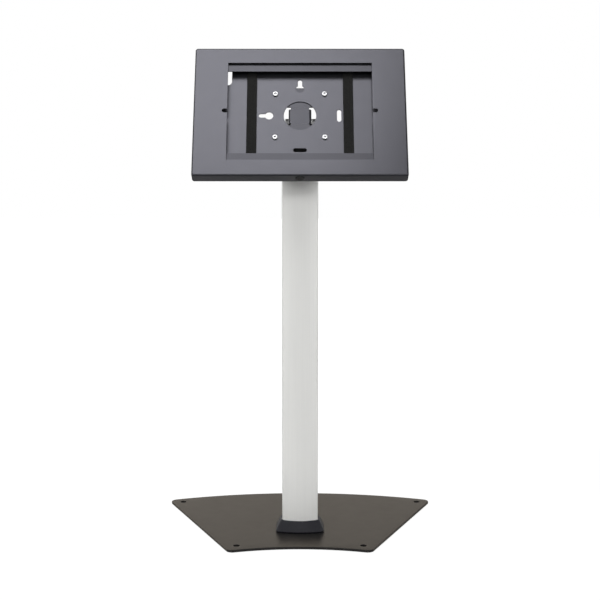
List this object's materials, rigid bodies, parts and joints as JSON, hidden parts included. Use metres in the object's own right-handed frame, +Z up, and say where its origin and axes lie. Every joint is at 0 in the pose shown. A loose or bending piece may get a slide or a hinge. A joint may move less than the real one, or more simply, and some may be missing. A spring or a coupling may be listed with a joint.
{
  "type": "tablet floor stand",
  "caption": "Floor stand with a flat flared base, an oval column and a tilting, lockable frame that holds a tablet between sliding bars.",
  "frame": {"origin": "middle of the outline's box, on the floor", "axes": "+Z up, -Y the side that the tablet's screen faces, +X to the right seen from the front"},
  "size_m": [0.4394, 0.3198, 0.7585],
  "materials": {
    "base_paint": "matt powder coat",
    "rubber_feet": "matt",
    "column_aluminium": "satin anodised",
    "black_plastic": "satin",
    "black_paint": "matt",
    "zinc_steel": "zinc plated",
    "washer_plastic": "smooth",
    "grey_paint": "satin powder coat",
    "foam": "open-cell foam",
    "lock_metal": "black nickel plated"
  },
  "bodies": {
    "stand": {"base_plate": "base_paint", "foot_pads": "rubber_feet", "column": "column_aluminium", "base_screws": "zinc_steel", "base_cover": "black_plastic", "column_cap": "black_plastic", "neck_bracket": "black_paint", "neck_screws": "zinc_steel", "friction_washers": "washer_plastic"},
    "head": {"tilt_plate": "grey_paint", "pivot_bolt": "zinc_steel", "spring_washer": "zinc_steel", "pivot_nut": "zinc_steel", "back_tray": "grey_paint", "vesa_screws": "zinc_steel", "vesa_nuts": "zinc_steel", "foam_strip_left": "foam", "foam_strip_right": "foam", "bar_screws": "zinc_steel", "bar_nuts": "zinc_steel", "lock_keeper": "grey_paint", "hinge_pins": "zinc_steel"},
    "top_bar": {"upper_bar": "grey_paint"},
    "bottom_bar": {"lower_bar": "grey_paint"},
    "frame": {"front_frame": "grey_paint", "lock_body": "lock_metal", "lock_nut": "lock_metal"},
    "lock": {"lock_plug": "lock_metal", "lock_cam": "lock_metal", "cam_screw": "zinc_steel"}
  },
  "joints": [
    {"name": "head_tilt", "type": "hinge", "parent": "stand", "child": "head", "pos_m": [0, -0.04913, 0.644], "axis": [-1, 0, 0], "range_deg": [-24, 60]},
    {"name": "frame_swing", "type": "hinge", "parent": "head", "child": "frame", "pos_m": [0, -0.0144, 0.74709], "axis": [-1, 0, 0], "range_deg": [0, 75]},
    {"name": "lock_turn", "type": "hinge", "parent": "frame", "child": "lock", "pos_m": [0, -0.12993, 0.56302], "axis": [0, -0.4848, -0.8746], "range_deg": [0, 90]},
    {"name": "top_bar_slide", "type": "slide", "parent": "head", "child": "top_bar", "axis": [0, 0.4848, 0.8746], "range_m": [0, 0.007]},
    {"name": "bottom_bar_slide", "type": "slide", "parent": "head", "child": "bottom_bar", "axis": [0, -0.4848, -0.8746], "range_m": [0, 0.007]}
  ]
}
